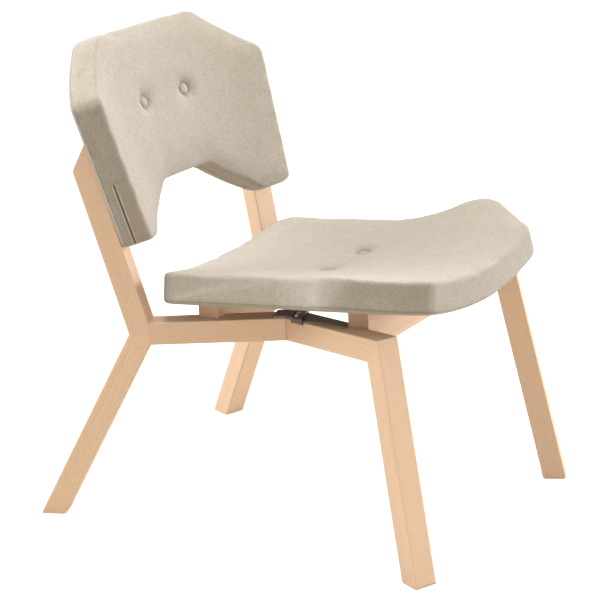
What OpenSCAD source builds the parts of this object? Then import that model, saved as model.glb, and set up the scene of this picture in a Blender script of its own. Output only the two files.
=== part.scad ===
// Lounge chair with two V-shaped beech side frames, two cross beams and
// a dished, upholstered seat and back. Millimetres, +Z up, the sitter faces -Y.
// The origin lies on the floor, midway between the feet.

/* [Side frames] */
// Side of the square section of every frame member
member = 38; // [32:0.5:44]
// Radius of the rounded long edges of the wood
arris = 2; // [1:0.5:3]
// Distance of the kink's outer edge from the middle of the chair
kink_x = 122; // [110:1:140]
// Position of the kink along the chair, negative is forward
kink_y = -48; // [-60:1:-35]
// Drop of the rails' top edge at the kink below the seat's surface
rail_drop = 69; // [63:1:75]
// Angle by which the front half of a side frame swings outward
front_swing = 25; // [20:0.5:28]
// Angle by which the rear half of a side frame swings outward
rear_swing = 22; // [18:0.5:25]
// Length of the front rail from the kink to its outer top corner
front_run = 256; // [245:1:275]
// Rise of the front rail towards the front
front_rise = 6.2; // [4:0.1:8]
// Distance from the kink to the rear elbow
rear_run = 261; // [250:1:280]
// Fall of the rear rail towards the rear
rear_fall = 2.8; // [1:0.1:4]
// Drop of the rear elbow, where the leg turns into the back post, below the kink
elbow_drop = 31; // [26:1:36]
// Forward splay of the front leg from upright
front_splay = 12.2; // [9:0.1:15]
// Rearward splay of the rear leg from upright
rear_splay = 28.7; // [24:0.1:31]
// Backward lean of the back post
post_lean = 15; // [13:0.1:17]
// Height of the back post's rear corner above the elbow
post_rise = 272; // [255:1:285]
// Angle of the slanted cut at the post's top, from the upright
post_cut = 27; // [20:1:40]
// Bevel round the end of each foot
foot_bevel = 3; // [1:0.5:4]

/* [Cross beams] */
// Thickness of a cross beam
beam_t = 36; // [30:1:40]
// Position of the front cross beam's middle
front_beam_y = -206; // [-215:1:-195]
// Position of the rear cross beam's middle
rear_beam_y = 80; // [70:1:90]
// Reach of the front cross beam's ends past the rails' inner faces
front_beam_over = 6.2; // [4:0.1:12]
// Reach of the rear cross beam's ends past the rails' inner faces
rear_beam_over = 22; // [16:0.5:28]
// Drop of the front cross beam's lower edge below the rails' top at the kink
front_beam_drop = 21; // [16:1:28]
// Drop of the rear cross beam's lower edge below the rails' top at the kink
rear_beam_drop = 43; // [36:1:50]

/* [Seat] */
// Thickness of the upholstered seat
seat_t = 54.5; // [52:0.5:58]
// Width of the seat at its widest, between the side corners
seat_width = 538; // [526:1:546]
// Width of the seat's front edge
seat_front_width = 330; // [314:1:346]
// Width of the seat's rear edge
seat_rear_width = 374; // [362:1:386]
// Width of the seat at its waist
seat_waist_width = 361; // [350:1:372]
// Depth of the seat from front corner to rear corner
seat_depth = 503; // [492:1:510]
// Distance of the side corners behind the front corners
seat_side_back = 128; // [118:1:138]
// Distance of the waist behind the front corners
seat_waist_back = 212; // [200:1:226]
// Backward tilt of the seat
seat_tilt = 5.2; // [4.4:0.1:6]
// Height of the seat's surface between the buttons
seat_height = 420; // [413:1:427]
// Position of the seat buttons along the chair
seat_mid_y = -90; // [-96:1:-84]
// Rise of the seat's wings at dish_span from the middle
seat_dish = 31.5; // [29:0.5:34]

/* [Back] */
// Thickness of the upholstered back
back_t = 56; // [53:0.5:60]
// Width of the back's top edge
back_top_width = 256; // [244:1:268]
// Distance of the lower corners inside the posts' middle
back_lobe_in = 6; // [3:0.5:10]
// Distance of the side corners outside the lower corners
back_flare = 25.5; // [20:0.5:31]
// Height of the back
back_height = 336; // [325:1:345]
// Drop of the side corners below the top edge
back_side_drop = 98; // [85:1:110]
// Width of each lobe's lower edge
lobe_width = 47.5; // [42:0.5:54]
// Width of the notch at its head
notch_head = 126; // [115:1:138]
// Depth of the notch
notch_depth = 80; // [70:1:90]
// Lean of the back from upright
back_lean = 18.2; // [17:0.1:20]
// Height of the back buttons above the rear elbow
back_rise_to_buttons = 347.5; // [340:0.5:354]
// Depth by which the posts press into the padded back
post_press = 3.4; // [2:0.1:5]
// Distance of the back buttons below the top edge
back_button_drop = 125.5; // [118:0.5:132]
// Forward reach of the back's wings, at dish_span from the middle
back_dish = 39.5; // [36:0.5:43]
// Gain of that reach at dish_span below the least dished level
back_wrap = 8.3; // [6:0.1:10]
// Height of the least dished level above the buttons
back_wrap_above = 63; // [55:1:70]
// Backward bow of the back's middle, at dish_span above and below the buttons
back_bow = 8.7; // [6:0.1:11]

/* [Upholstery] */
// Distance from the buttons' middle at which dishes and bows are measured
dish_span = 200; // [190:1:210]
// Thickness of the plywood shells
ply_t = 9; // [6:0.5:12]
// Depth of the shell's middle below the padded surface
ply_depth = 27; // [24:1:30]
// Distance of the shell's edge inside the padded edge
ply_inset = 8; // [5:0.5:12]
// Radius of the padded edges
pad_edge = 9; // [7:0.5:12]
// Fall of the padded surface from its middle to its edge
pad_crown = 3; // [1:0.5:5]
// Draw-in of the padded side at its half height
pad_waist = 1.2; // [0.5:0.1:2]
// Distance between the two buttons of a pair
button_pitch = 112; // [100:1:124]
// Diameter of a covered button
button_d = 20; // [17:0.5:22]
// Depth of the dimple under a button
tuft_depth = 7; // [5:0.5:8]
// Radius of the dimple round a button
tuft_radius = 24; // [20:1:28]

/* [Steel splice] */
// Thickness of the splice plate
plate_t = 3; // [2:0.5:4]
// Length of the splice plate along the front rail
plate_front = 134; // [124:1:136]
// Length of the splice plate along the rear rail
plate_rear = 20; // [16:1:30]
// Distance of the clamp behind the kink along the front rail
clamp_start = 16; // [12:1:24]
// Length of the clamp along the rail
clamp_len = 34; // [28:1:38]
// Sheet thickness of the clamp
clamp_t = 2.5; // [2:0.5:3]
// Reach of the clamp's folded lips below the wood's top edge
clamp_lip = 4; // [3:0.5:7]

/* [Fasteners] */
// Diameter of the frame dowels
dowel_d = 8; // [6:1:10]
// Length of the frame dowels
dowel_len = 36; // [30:1:40]
// Diameter of the dowels between rail and cross beam
beam_dowel_d = 10; // [8:1:12]
// Length of the dowels between rail and cross beam
beam_dowel_len = 44; // [36:1:50]
// Thread diameter of the seat and back bolts
bolt_d = 6; // [5:1:8]
// Diameter of a bolt's head
bolt_head_d = 12; // [10:0.5:13]
// Height of a bolt's head
bolt_head_h = 4; // [3:0.5:5]
// Depth of the counterbore over a bolt's head
bolt_sink = 9; // [6:0.5:12]
// Distance of the seat bolts from the middle
seat_bolt_x = 62; // [50:1:72]
// Height of a post's lower bolt above the elbow
post_bolt_low = 205; // [195:1:215]
// Distance between the two bolts of a post
post_bolt_pitch = 48; // [40:1:56]
// Flange diameter of a tee nut
tee_flange_d = 18; // [16:0.5:20]
// Flange thickness of a tee nut
tee_flange_t = 1.2; // [1:0.1:1.6]

/* [Clearances] */
// Gap between soft parts and what they meet
soft_gap = 0.3; // [0.2:0.05:0.5]
// Gap round a dowel, bolt or screw in its hole
hole_gap = 0.15; // [0.1:0.05:0.3]

/* [Hidden] */

wood = "burlywood";
cloth = "tan";
ply = "peru";
steel = "dimgray";
zinc = "silver";

// Plane geometry
function unit(v) = v / norm(v);
function cross2(a, b) = a.x * b.y - a.y * b.x;
function meet(p, d, q, e) = p + d * cross2(q - p, e) / cross2(d, e);
function left_of(d) = [-d.y, d.x];
function right_of(d) = [d.y, -d.x];
function turn(a0, a1) = (a1 - a0 + 540) % 360 - 180;

// Points of an arc that rounds corner p between neighbours a and b
function fillet(a, p, b, r, n) =
    let (u = unit(a - p), w = unit(b - p), half = acos(u * w) / 2,
        c = p + unit(u + w) * r / sin(half),
        s = p + u * r / tan(half) - c, e = p + w * r / tan(half) - c,
        a0 = atan2(s.y, s.x), sweep = turn(a0, atan2(e.y, e.x)))
    [for (i = [0:n]) c + r * [cos(a0 + sweep * i / n), sin(a0 + sweep * i / n)]];

// Points inside a straight edge, so that it can follow a curved surface
function along(a, b, longest) =
    let (n = ceil(norm(b - a) / longest))
    [for (i = [1:1:n - 1]) a + (b - a) * i / n];

// Rounded outline through corners [x, y, radius]
function outline(corners, steps, longest) =
    let (n = len(corners),
        xy = [for (c = corners) [c.x, c.y]],
        arcs = [for (i = [0:n - 1]) fillet(xy[(i + n - 1) % n], xy[i],
            xy[(i + 1) % n], corners[i][2], steps)])
    [for (i = [0:n - 1]) each concat(arcs[i],
        along(arcs[i][steps], arcs[(i + 1) % n][0], longest))];

function mirrored(half) = concat(half,
    [for (i = [len(half) - 1:-1:0]) if (half[i].x != 0)
        [-half[i].x, half[i].y, half[i][2]]]);

// Heights that follow the seat's
rail_height = seat_height - rail_drop;
elbow_height = rail_height - elbow_drop;
front_beam_low = rail_height - front_beam_drop;
rear_beam_low = rail_height - rear_beam_drop;
back_mid_z = elbow_height + back_rise_to_buttons;

// Front half-frame, drawn in the plane of its arm: x runs out from the kink
front_dir = [cos(front_rise), sin(front_rise)];
front_start = [0, rail_height];
front_corner = front_start + front_dir * front_run / cos(front_rise);
front_leg_dir = [sin(front_splay), -cos(front_splay)];
front_toe = meet(front_corner, front_leg_dir, [0, 0], [1, 0]);
front_inner = meet(front_start + right_of(front_dir) * member, front_dir,
    front_corner + right_of(front_leg_dir) * member, front_leg_dir);
front_heel = meet(front_inner, front_leg_dir, [0, 0], [1, 0]);

// Rear half-frame, drawn in the plane of its arm
rear_dir = [cos(rear_fall), -sin(rear_fall)];
elbow = [rear_run, elbow_height];
rear_leg_dir = [sin(rear_splay), -cos(rear_splay)];
post_dir = [sin(post_lean), cos(post_lean)];
rear_heel = meet(elbow, rear_leg_dir, [0, 0], [1, 0]);
fork_top = meet(front_start, rear_dir,
    elbow + left_of(post_dir) * member, post_dir);
fork_low = meet(front_start + right_of(rear_dir) * member, rear_dir,
    elbow + right_of(rear_leg_dir) * member, rear_leg_dir);
fork_mid = meet(elbow, left_of(post_dir) + right_of(rear_leg_dir),
    fork_top, fork_low - fork_top);
rear_toe = meet(fork_low, rear_leg_dir, [0, 0], [1, 0]);
post_top = elbow + post_dir * post_rise / cos(post_lean);
post_tip = meet(post_top, [-sin(post_cut), cos(post_cut)], fork_top, post_dir);

post_bolts = [post_bolt_low, post_bolt_low + post_bolt_pitch];
// Point of a post's middle plane at height h above the elbow, u in front of its rear face
function post_world(h, u) =
    let (q = elbow + post_dir * h + left_of(post_dir) * u)
    [-kink_x - q.x * sin(rear_swing) + member / 2 * cos(rear_swing),
        kink_y + q.x * cos(rear_swing) + member / 2 * sin(rear_swing), q.y];
post_pad = post_world(post_bolt_low + post_bolt_pitch / 2, member);

mitre = (rear_swing - front_swing) / 2;
reach = 700;

// Seat surface in its own frame: x across, y rearward, z out of the surface
seat_front = -255;
seat_bow_rear = 19;
seat_bow_front = 6;
seat_corners = mirrored([[0, seat_front + seat_depth + seat_bow_rear, 420],
    [-seat_rear_width / 2, seat_front + seat_depth, 46],
    [-seat_waist_width / 2, seat_front + seat_waist_back, 160],
    [-seat_width / 2, seat_front + seat_side_back, 59],
    [-seat_front_width / 2, seat_front, 27], [0, seat_front - seat_bow_front, 500]]);
seat_edge = outline(seat_corners, 3, 62);
function seat_lift(x, y) = seat_dish * pow(x / dish_span, 2);
function seat_slope(x, y) = 2 * seat_dish * x / pow(dish_span, 2);

// Back surface in its own frame: x across, y up the back, z towards the sitter
back_top_y = back_button_drop;
back_low_y = back_button_drop - back_height;
back_low_x = -post_pad.x - back_lobe_in;
back_corners = mirrored([[-back_top_width / 2, back_top_y, 30],
    [-back_low_x - back_flare, back_top_y - back_side_drop, 22],
    [-back_low_x, back_low_y, 15], [lobe_width - back_low_x, back_low_y, 13],
    [-notch_head / 2, back_low_y + notch_depth, 30]]);
back_edge = outline(back_corners, 3, 70);
back_quart = back_dish * 0.37;
function back_quad(y) = back_dish - back_quart
    + back_wrap * pow((y - back_wrap_above) / dish_span, 2);
function back_lift(x, y) = back_quad(y) * pow(x / dish_span, 2)
    + back_quart * pow(x / dish_span, 4) - back_bow * pow(y / dish_span, 2);
function back_slope(x, y) = 2 * back_quad(y) * x / pow(dish_span, 2)
    + 4 * back_quart * pow(x / dish_span, 3) / dish_span;
seat_rise = function(x, y) seat_lift(x, y);
seat_lean = function(x, y) seat_slope(x, y);
back_rise = function(x, y) back_lift(x, y);
back_turn = function(x, y) back_slope(x, y);

// Place in the back's surface over a post: [x, y, z], found by going round
function over_post(p, rounds) = rounds == 0 ? p
    : let (q = sunk(p, back_t - post_press, back_rise, back_turn))
    over_post([p.x + post_pad.x - q.x,
        (post_pad.z - back_mid_z - q.z * sin(back_lean)) / cos(back_lean), q.z], rounds - 1);
back_foot = over_post([post_pad.x, 0, 0], 12);
back_mid_y = post_pad.y - back_foot.y * sin(back_lean) + back_foot.z * cos(back_lean);

// A point at depth d below the surface, measured square to it
function sunk(p, d, lift, slope) =
    let (s = slope(p.x, p.y), h = sqrt(1 + s * s))
    [p.x + d * s / h, p.y, lift(p.x, p.y) - d / h];

function dent(r) = tuft_depth * exp(-pow(1.3 * r / tuft_radius, 2));
function dimple(p) = dent(norm(p - [button_pitch / 2, 0])) + dent(norm(p + [button_pitch / 2, 0]));

// One ring of a pad: the outline drawn in by share f and inset e, at depth d
function ring(edge, f, e, d, lift, slope, tuft) =
    [for (p = edge) let (q = p * (f - e / norm(p)))
        sunk(q, d + (tuft ? dimple(q) : 0), lift, slope)];

// Closed skin through a stack of rings with a point at each end
module skin(rings, first, last) {
    m = len(rings[0]);
    n = len(rings);
    points = concat([first], [for (r = rings) each r], [last]);
    end = n * m + 1;
    polyhedron(points, concat(
        [for (i = [0:m - 1]) [0, 1 + (i + 1) % m, 1 + i]],
        [for (k = [0:n - 2], i = [0:m - 1]) each
            let (a = 1 + k * m + i, b = 1 + k * m + (i + 1) % m)
            [[a, b, a + m], [b, b + m, a + m]]],
        [for (i = [0:m - 1]) [end, 1 + (n - 1) * m + i, 1 + (n - 1) * m + (i + 1) % m]]));
}

tuft_shares = [0.09, 0.16, 0.205, 0.24, 0.275, 0.32, 0.4, 0.54, 0.7, 0.85];
plate_shares = [0.25, 0.5, 0.75, 1];
edge_turns = [10, 32, 55, 90];
low_shares = [0.15, 0.35, 0.55, 0.75, 0.9];
low_turns = [35, 60, 90];
function crown(f) = pad_crown * pow(f, 3);

// Padded half on the sitter's side: crowned, tufted, hollowed for the shell
module upper_pad(edge, lift, slope) {
    floor_d = ply_depth - ply_t / 2 - soft_gap;
    part_d = ply_depth - soft_gap / 2;
    rings = concat(
        [for (f = tuft_shares) ring(edge, f, pad_edge * f, crown(f), lift, slope, true)],
        [for (a = edge_turns) ring(edge, 1, pad_edge * (1 - sin(a)),
            pad_crown + pad_edge * (1 - cos(a)), lift, slope, false)],
        [ring(edge, 1, pad_waist, (part_d + pad_edge) / 2 + 2, lift, slope, false),
            ring(edge, 1, pad_waist / 2, part_d, lift, slope, false)],
        [ring(edge, 1, ply_inset - soft_gap, part_d, lift, slope, false)],
        [for (i = [3:-1:0]) ring(edge, plate_shares[i],
            (ply_inset - soft_gap) * plate_shares[i], floor_d, lift, slope, false)]);
    skin(rings, sunk([0, 0], 0, lift, slope), sunk([0, 0], floor_d, lift, slope));
}

// Padded half on the outer side
module lower_pad(edge, lift, slope, thick) {
    ceil_d = ply_depth + ply_t / 2 + soft_gap;
    part_d = ply_depth + soft_gap / 2;
    rings = concat(
        [for (i = [0:3]) ring(edge, plate_shares[i],
            (ply_inset - soft_gap) * plate_shares[i], ceil_d, lift, slope, false)],
        [ring(edge, 1, ply_inset - soft_gap, part_d, lift, slope, false),
            ring(edge, 1, pad_waist / 2, part_d, lift, slope, false),
            ring(edge, 1, 0, thick - pad_edge, lift, slope, false)],
        [for (a = low_turns) ring(edge, 1, pad_edge * (1 - cos(a)),
            thick - pad_edge * (1 - sin(a)), lift, slope, false)],
        [for (i = [len(low_shares) - 1:-1:0]) ring(edge, low_shares[i],
            pad_edge * low_shares[i], thick, lift, slope, false)]);
    skin(rings, sunk([0, 0], ceil_d, lift, slope), sunk([0, 0], thick, lift, slope));
}

// Pressed plywood between the two pads
module pressed_shell(edge, lift, slope) {
    top_d = ply_depth - ply_t / 2;
    low_d = ply_depth + ply_t / 2;
    rings = concat(
        [for (f = plate_shares) ring(edge, f, ply_inset * f, top_d, lift, slope, false)],
        [for (i = [3:-1:0]) ring(edge, plate_shares[i], ply_inset * plate_shares[i],
            low_d, lift, slope, false)]);
    skin(rings, sunk([0, 0], top_d, lift, slope), sunk([0, 0], low_d, lift, slope));
}

module at_seat() translate([0, seat_mid_y, seat_height]) rotate([-seat_tilt, 0, 0]) children();
module at_back() translate([0, back_mid_y, back_mid_z]) rotate([90 - back_lean, 0, 0]) children();

// Places of the side frames' arms; the left frame mirrors the right one
module front_arm() translate([-kink_x, kink_y, 0]) rotate([0, 0, -90 - front_swing]) children();
module rear_arm() translate([-kink_x, kink_y, 0]) rotate([0, 0, 90 + rear_swing])
    translate([0, -member, 0]) children();
module left_side() mirror([1, 0, 0]) children();
module both_sides() {
    children();
    left_side() children();
}
module kink_half(side, lap = 0) translate([-kink_x, kink_y, 0]) rotate([0, 0, mitre])
    translate([-reach, side > 0 ? -lap : lap - reach, 0]) cube([2 * reach, reach, reach]);

// Section of a stick of wood with rounded arrises
module section(w, h) {
    polygon(outline([[0, 0, arris], [w, 0, arris], [w, h, arris], [0, h, arris]], 3, w + h));
}
// Long stick through a, along d, lying on the side of its edge that s says
module stick(a, d, s) {
    translate([a.x, 0, a.y]) rotate([0, -atan2(d.y, d.x), 0])
        translate([-2 * member, 0, s > 0 ? 0 : -member]) rotate([90, 0, 90])
        linear_extrude(reach) section(member, member);
}
// Slab with the outline of one member in the plane of its arm
module slab(points) {
    translate([0, member + 1, 0]) rotate([90, 0, 0]) linear_extrude(member + 2) polygon(points);
}

// A hole or a round bar along the arm's plane, from point a along direction d
module bar(a, y, d, from, to, dia) {
    translate([a.x, y, a.y]) rotate([0, 90 - atan2(d.y, d.x), 0])
        translate([0, 0, from]) cylinder(d = dia, h = to - from, $fn = 32);
}

dowel_rows = [member * 0.3, member * 0.7];
front_mitre_mid = (front_corner + front_inner) / 2;
front_mitre_dir = left_of(unit(front_corner - front_inner));
fork_dir = right_of(unit(fork_low - fork_top));
post_dowel_at = (fork_top + fork_mid) / 2;
leg_dowel_at = (fork_low + fork_mid) / 2;
elbow_mid = elbow + (fork_mid - elbow) * 0.45;
elbow_dir = left_of(unit(fork_mid - elbow));

module front_corner_dowels(gap) {
    for (y = dowel_rows)
        bar(front_mitre_mid, y, front_mitre_dir, -dowel_len / 2 - gap, dowel_len / 2 + gap,
            dowel_d + 2 * gap);
}
module fork_dowels(gap) {
    bar(post_dowel_at, member / 2, fork_dir, -dowel_len / 2 - gap, dowel_len / 2 + gap,
        dowel_d + 2 * gap);
    bar(leg_dowel_at, member / 2, fork_dir, -dowel_len / 2 - gap, dowel_len / 2 + gap,
        dowel_d + 2 * gap);
}
module elbow_dowels(gap) {
    for (y = [member * 0.22, member * 0.78])
        bar(elbow_mid, y, elbow_dir, -dowel_len / 2 - gap, dowel_len / 2 + gap,
            dowel_d + 2 * gap);
}
// Dowels across the kink, square to the mitre
module kink_dowels(gap) {
    translate([-kink_x, kink_y, 0]) rotate([0, 0, mitre])
        for (drop = dowel_rows)
            translate([member * 0.55, 0, rail_height - drop]) rotate([90, 0, 0])
                cylinder(d = dowel_d + 2 * gap, h = dowel_len + 2 * gap, center = true, $fn = 32);
}

// Top of a rail as a frame: x along the rail, y across it, z up from the wood
module on_front_rail() front_arm() translate([0, 0, rail_height])
    rotate([0, -front_rise, 0]) children();
module on_rear_rail() rear_arm() translate([0, 0, rail_height])
    rotate([0, rear_fall, 0]) children();

// Dowels between a rail and a cross beam's end, along the beam
beam_dowel_low = 11;
beam_dowel_pitch = 16;
module beam_dowel_pair(y, x, low, gap) {
    for (z = [low + beam_dowel_low, low + beam_dowel_low + beam_dowel_pitch])
        translate([-x, y, z]) rotate([0, 90, 0])
            cylinder(d = beam_dowel_d + 2 * gap, h = beam_dowel_len + 2 * gap, center = true,
                $fn = 32);
}
front_beam_meet = kink_x - member * cos(front_swing)
    + (kink_y - front_beam_y - member * sin(front_swing)) * tan(front_swing);
rear_beam_meet = kink_x - member * cos(rear_swing)
    + (rear_beam_y - kink_y - member * sin(rear_swing)) * tan(rear_swing);
module front_beam_dowels(gap) beam_dowel_pair(front_beam_y, front_beam_meet, front_beam_low, gap);
module rear_beam_dowels(gap) beam_dowel_pair(rear_beam_y, rear_beam_meet, rear_beam_low, gap);

// The clamp's ends run square to the rear rail, slanted across the front rail
clamp_slant = front_swing + rear_swing;
clamp_mid = clamp_start + clamp_len / 2;
// Screws: [distance along the rail, distance across it]
clamp_screw_back = 3;
front_screw_in = 24;
rear_screw_in = 9;
clamp_screw_spots = [for (y = [member * 0.16, member * 0.48])
    [clamp_mid - clamp_screw_back - y * tan(clamp_slant), y]];
front_screw_spots = [[plate_front - front_screw_in, member * 0.83]];
rear_screw_spots = [[plate_rear - rear_screw_in, member * 0.3]];
screw_d = 4;
screw_len = 24;
screw_head_d = 7.5;
sink_t = 2.2;
module screw_holes(spots) {
    for (p = spots) translate([p.x, p.y, -screw_len])
        cylinder(d = screw_d + 2 * hole_gap, h = 2 * screw_len, $fn = 24);
}

module right_front_rail() {
    color(wood) difference() {
        intersection() {
            front_arm() intersection() {
                stick(front_start, front_dir, -1);
                slab([[-member, rail_height + member],
                    front_corner + (front_corner - front_inner), front_corner, front_inner,
                    front_inner + (front_inner - front_corner),
                    [-member, rail_height - 2 * member]]);
            }
            kink_half(-1);
        }
        front_arm() front_corner_dowels(hole_gap);
        kink_dowels(hole_gap);
        front_beam_dowels(hole_gap);
        on_front_rail() screw_holes(concat(clamp_screw_spots, front_screw_spots));
    }
}
module right_front_leg() {
    b = foot_bevel;
    color(wood) difference() {
        front_arm() intersection() {
            stick(front_corner, front_leg_dir, -1);
            slab([front_corner, front_toe + [0, b] + [-b * tan(front_splay), 0],
                front_toe - [b, 0], front_heel + [b, 0],
                front_heel + [0, b] - [b * tan(front_splay), 0], front_inner]);
        }
        front_arm() front_corner_dowels(hole_gap);
    }
}
module right_rear_rail() {
    color(wood) difference() {
        intersection() {
            rear_arm() intersection() {
                stick(front_start, rear_dir, -1);
                slab([[-member, rail_height + member], [fork_top.x, rail_height + member],
                    fork_top, fork_low, [fork_low.x, rail_height - 2 * member],
                    [-member, rail_height - 2 * member]]);
            }
            kink_half(1);
        }
        rear_arm() fork_dowels(hole_gap);
        kink_dowels(hole_gap);
        rear_beam_dowels(hole_gap);
        on_rear_rail() screw_holes(rear_screw_spots);
    }
}
module right_rear_leg() {
    b = foot_bevel;
    color(wood) difference() {
        rear_arm() intersection() {
            stick(elbow, rear_leg_dir, -1);
            slab([elbow, rear_heel + [0, b] - [b * tan(rear_splay), 0], rear_heel - [b, 0],
                rear_toe + [b, 0], rear_toe + [0, b] - [b * tan(rear_splay), 0],
                fork_low, fork_mid]);
        }
        rear_arm() {
            fork_dowels(hole_gap);
            elbow_dowels(hole_gap);
        }
    }
}
module right_back_post() {
    b = foot_bevel;
    cut = unit(post_tip - post_top);
    color(wood) difference() {
        rear_arm() intersection() {
            stick(elbow, post_dir, 1);
            slab([elbow, fork_mid, fork_top, post_tip - post_dir * b, post_tip - cut * b,
                post_top + cut * b, post_top - post_dir * b]);
        }
        rear_arm() {
            fork_dowels(hole_gap);
            elbow_dowels(hole_gap);
        }
        back_bolt_holes(hole_gap);
    }
}

// Bolt lines through the seat: a point on the shell over each beam
shell_top = ply_depth - ply_t / 2;
function seat_world(p) = [p.x, seat_mid_y + p.y * cos(seat_tilt) + p.z * sin(seat_tilt),
    seat_height - p.y * sin(seat_tilt) + p.z * cos(seat_tilt)];
function seat_nut(x, y) = seat_world(sunk([x, y - seat_mid_y], shell_top, seat_rise, seat_lean));
seat_nuts = [for (y = [front_beam_y, rear_beam_y], x = [-seat_bolt_x, seat_bolt_x])
    [seat_nut(x, y), y == front_beam_y ? front_beam_low : rear_beam_low]];

// Bolt lines through the back posts: how far each runs to reach a depth in the back
function back_local(p) =
    let (d = p - [0, back_mid_y, back_mid_z], a = 90 - back_lean)
    [d.x, d.y * cos(a) + d.z * sin(a), d.z * cos(a) - d.y * sin(a)];
function back_depth(p) =
    let (q = back_local(p), s = back_slope(q.x, q.y))
    (back_lift(q.x, q.y) - q.z) / sqrt(1 + s * s);
function bolt_reach(h, depth, u, rounds) = rounds == 0 ? u
    : bolt_reach(h, depth, u + back_depth(post_world(h, u)) - depth, rounds - 1);

nut_h = 8.5;
nut_d = 8;
// Tee nut: flange at the padded side of the shell, barrel through it
module tee_nut() {
    difference() {
        union() {
            cylinder(d = tee_flange_d, h = tee_flange_t, $fn = 40);
            translate([0, 0, tee_flange_t - nut_h])
                cylinder(d = nut_d, h = nut_h - tee_flange_t / 2, $fn = 32);
        }
        translate([0, 0, -nut_h]) cylinder(d = bolt_d + 2 * hole_gap, h = 2 * nut_h, $fn = 32);
    }
}
flange_low = 1.6;
nut_sink = tee_flange_t + flange_low;
pocket = 20;
module tee_pocket() {
    cylinder(d = tee_flange_d + 2 * hole_gap, h = pocket, $fn = 40);
    translate([0, 0, -pocket]) cylinder(d = nut_d + 2 * hole_gap, h = 2 * pocket, $fn = 32);
}
module at_seat_nuts() {
    for (n = seat_nuts) translate(n[0] - [0, 0, nut_sink]) children();
}
module at_back_nuts() {
    rear_arm() for (h = post_bolts)
        let (u = bolt_reach(h, shell_top, 2 * member, 8), p = elbow + post_dir * h)
        translate([p.x, member / 2, p.y]) rotate([0, 90 - atan2(post_dir.x, -post_dir.y), 0])
            translate([0, 0, u - nut_sink]) children();
}

// Round-headed bolt with its tip at the origin, length below it
head_dome = bolt_head_d * 0.72;
hex_d = bolt_d * 0.72;
hex_depth = 2.2;
module bolt(length) {
    translate([0, 0, -length]) cylinder(d = bolt_d, h = length, $fn = 32);
    translate([0, 0, -length - bolt_head_h]) difference() {
        intersection() {
            cylinder(d = bolt_head_d, h = bolt_head_h, $fn = 48);
            translate([0, 0, head_dome]) sphere(r = head_dome, $fn = 64);
        }
        translate([0, 0, -1]) cylinder(d = hex_d, h = hex_depth + 1, $fn = 6);
    }
}
bolt_past = 3;
module seat_bolt_holes() {
    for (n = seat_nuts) translate([n[0].x, n[0].y, n[1]]) {
        translate([0, 0, -1]) cylinder(d = bolt_head_d + 4 * hole_gap, h = bolt_sink + 1, $fn = 48);
        cylinder(d = bolt_d + 2 * hole_gap, h = seat_height, $fn = 32);
    }
}
module back_bolt_holes(gap) {
    rear_arm() for (h = post_bolts) {
        bar(elbow + post_dir * h, member / 2, left_of(post_dir), -1, 3 * member, bolt_d + 2 * gap);
        bar(elbow + post_dir * h, member / 2, left_of(post_dir), -1, bolt_sink,
            bolt_head_d + 4 * gap);
    }
}

// Cross beam: its top follows the seat, its ends are notched over the rails
module beam(y, length, low) {
    under = seat_t + soft_gap;
    radius = (pow(dish_span, 2) / seat_dish + seat_lift(length / 2, 0)) / 2 + under;
    top = seat_height - (y - seat_mid_y) * tan(seat_tilt) - under / cos(seat_tilt);
    difference() {
        translate([-length / 2, y - beam_t / 2, low]) rotate([90, 0, 90])
            linear_extrude(length) section(beam_t, seat_height - low);
        translate([0, y, top]) rotate([-seat_tilt, 0, 0]) translate([0, 0, radius])
            rotate([90, 0, 0]) cylinder(r = radius, h = 2 * beam_t, center = true, $fn = 180);
        both_sides() children();
        seat_bolt_holes();
    }
}

module front_cross_beam() {
    color(wood) beam(front_beam_y, 2 * (front_beam_meet + front_beam_over), front_beam_low) {
        on_front_rail() translate([0, -reach / 2, -reach / 2])
            cube([reach, reach / 2 + member + hole_gap, reach / 2 + hole_gap]);
        front_beam_dowels(hole_gap);
    }
}
module rear_cross_beam() {
    color(wood) beam(rear_beam_y, 2 * (rear_beam_meet + rear_beam_over), rear_beam_low) {
        on_rear_rail() translate([0, -hole_gap, -reach / 2])
            cube([reach, reach / 2, reach / 2 + hole_gap]);
        rear_beam_dowels(hole_gap);
    }
}

// Covered buttons, each on a shank that the shell holds
module at_tufts(lift, slope) {
    for (x = [-button_pitch / 2, button_pitch / 2])
        translate(sunk([x, 0], tuft_depth, lift, slope)) rotate([0, -atan(slope(x, 0)), 0])
            children();
}
shank_d = 4;
button_h = 5;
module button() {
    rise = button_h - 2;
    dome = (pow(button_d / 2, 2) + rise * rise) / (2 * rise);
    span = asin(button_d / 2 / dome);
    rotate_extrude($fn = 40) polygon(concat([[0, tuft_depth - shell_top + soft_gap],
        [shank_d / 2, tuft_depth - shell_top + soft_gap], [shank_d / 2, 0],
        [button_d / 2 - 1, 0], [button_d / 2, 1]],
        [for (i = [0:6]) [dome * sin(span * (1 - i / 6)),
            button_h - dome + dome * cos(span * (1 - i / 6))]]));
}
module button_pocket() {
    translate([0, 0, -soft_gap]) cylinder(d = button_d + 2 * soft_gap, h = ply_depth, $fn = 40);
    translate([0, 0, -ply_depth]) cylinder(d = shank_d + 2 * soft_gap, h = 2 * ply_depth, $fn = 24);
}

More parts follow.
